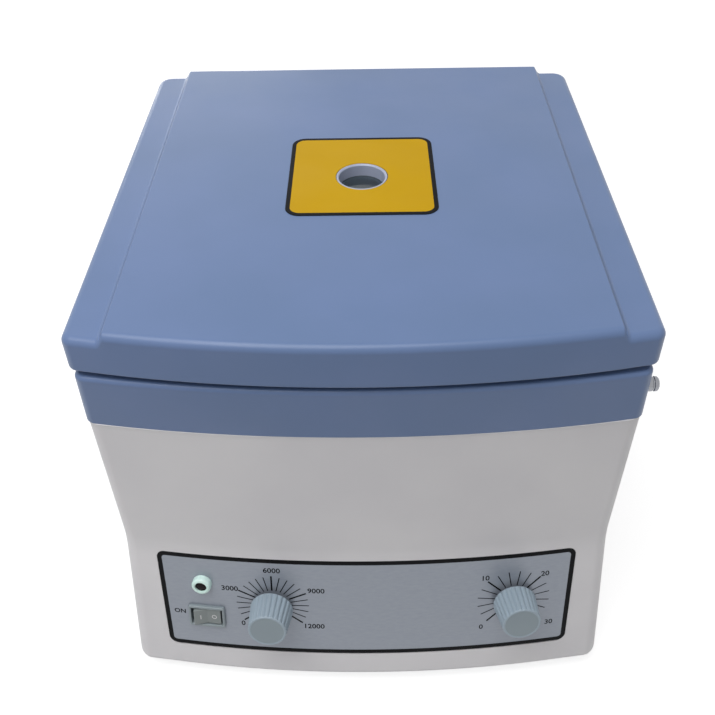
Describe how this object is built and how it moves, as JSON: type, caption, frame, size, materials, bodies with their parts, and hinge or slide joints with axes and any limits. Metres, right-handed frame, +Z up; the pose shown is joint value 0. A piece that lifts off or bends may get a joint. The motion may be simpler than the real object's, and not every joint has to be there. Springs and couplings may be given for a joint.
{
  "type": "hematocrit centrifuge",
  "caption": "Bench hematocrit centrifuge: hinged lid with a round window in a bare yellow plate, capillary rotor in a steel bowl, sloping panel with speed and timer dials.",
  "frame": {"origin": "on the floor under the middle of the whole object, from the lock pin and knobs to the hinge knuckles", "axes": "+X to the right seen from the panel, +Y to the back where the lid is hinged, +Z up"},
  "size_m": [0.2854, 0.3275, 0.2592],
  "materials": {
    "blue_abs": "satin moulded blue-grey plastic",
    "white_abs": "satin moulded warm white plastic",
    "liner_abs": "matt moulded pale grey plastic",
    "yellow_plate": "satin printed plastic plate",
    "clear_plate": "clear polished disc",
    "panel_foil": "satin metallic grey foil",
    "knob_plastic": "matt grey-blue plastic",
    "switch_plastic": "satin grey plastic",
    "lamp_plastic": "glossy pale mint plastic",
    "dark_lens": "dark polished lens",
    "chrome": "polished",
    "steel": "spun or brushed",
    "aluminium": "fine turned",
    "black_rubber": "matt",
    "black_plastic": "matt moulded",
    "copper": "wound and lacquered",
    "board_resin": "lacquered resin"
  },
  "bodies": {
    "base": {"top_deck": "blue_abs", "chamber_bowl": "steel", "speed_control": "steel", "timer_movement": "steel", "lower_bearing": "steel", "upper_bearing": "steel", "motor_can": "steel", "field_ring": "steel", "motor_plate": "steel", "base_plate": "steel", "body_hinge_left": "chrome", "hinge_pin_left": "chrome", "body_hinge_right": "chrome", "hinge_pin_right": "chrome", "lock_bush": "black_plastic", "brush_left": "black_plastic", "brush_right": "black_plastic", "power_inlet": "black_plastic", "chamber_gasket": "black_rubber", "rubber_mount_1": "black_rubber", "rubber_mount_2": "black_rubber", "rubber_mount_3": "black_rubber", "housing": "white_abs", "control_panel": "panel_foil", "rocker_frame": "switch_plastic", "lamp_holder": "lamp_plastic", "lamp_lens": "dark_lens", "lower_end_bell": "aluminium", "upper_end_bell": "aluminium", "control_board": "board_resin", "foot_front_left": "black_rubber", "foot_screw_front_left": "steel", "foot_front_right": "black_rubber", "foot_screw_front_right": "steel", "foot_rear_left": "black_rubber", "foot_screw_rear_left": "steel", "foot_rear_right": "black_rubber", "foot_screw_rear_right": "steel"},
    "lid": {"lid_shell": "blue_abs", "lid_liner": "liner_abs", "window_sleeve": "liner_abs", "window_glass": "clear_plate", "lid_label": "yellow_plate", "lid_keeper": "steel", "lid_hinge_left": "chrome", "lid_hinge_right": "chrome"},
    "lock_pin": {"lock_pin": "chrome"},
    "speed_knob": {"speed_knob": "knob_plastic", "speed_shaft": "steel"},
    "timer_knob": {"timer_knob": "knob_plastic", "timer_shaft": "steel"},
    "power_rocker": {"power_rocker": "switch_plastic"},
    "rotor": {"rotor_disc": "aluminium", "rotor_gasket": "black_rubber", "motor_shaft": "steel", "armature": "copper"},
    "rotor_cover": {"rotor_cover": "aluminium"},
    "rotor_nut": {"rotor_nut": "aluminium"},
    "fuse_drawer": {"fuse_drawer": "black_plastic"}
  },
  "joints": [
    {"name": "lid_hinge", "type": "hinge", "parent": "base", "child": "lid", "pos_m": [0, 0.16058, 0.2326], "axis": [-1, 0, 0], "range_deg": [0, 95]},
    {"name": "lock_pin_slide", "type": "slide", "parent": "base", "child": "lock_pin", "axis": [-1, 0, 0], "range_m": [0, 0.0045]},
    {"name": "speed_knob_turn", "type": "hinge", "parent": "base", "child": "speed_knob", "pos_m": [-0.0546, -0.14198, 0.06382], "axis": [0.0659, 0.976, -0.2075], "range_deg": [0, 255]},
    {"name": "timer_knob_turn", "type": "hinge", "parent": "base", "child": "timer_knob", "pos_m": [0.0855, -0.13908, 0.0649], "axis": [-0.1029, 0.973, -0.2068], "range_deg": [0, 270]},
    {"name": "power_rocker_tip", "type": "hinge", "parent": "base", "child": "power_rocker", "pos_m": [-0.09386, -0.13955, 0.05252], "axis": [-0.0239, -0.2052, -0.9784], "range_deg": [0, 18]},
    {"name": "rotor_spin", "type": "hinge", "parent": "base", "child": "rotor", "pos_m": [0, 0.00853, 0.1923], "axis": [0, 0, 1], "continuous": true},
    {"name": "rotor_nut_lift", "type": "slide", "parent": "rotor", "child": "rotor_nut", "axis": [0, 0, 1], "range_m": [0, 0.0125]},
    {"name": "rotor_cover_lift", "type": "slide", "parent": "rotor", "child": "rotor_cover", "axis": [0, 0, 1], "range_m": [0, 0.0125]},
    {"name": "fuse_drawer_slide", "type": "slide", "parent": "base", "child": "fuse_drawer", "axis": [0, 1, 0], "range_m": [0, 0.012]}
  ],
  "couplings": [
    {"joint": "rotor_cover_lift", "follows": "rotor_nut_lift", "ratio": 1}
  ]
}
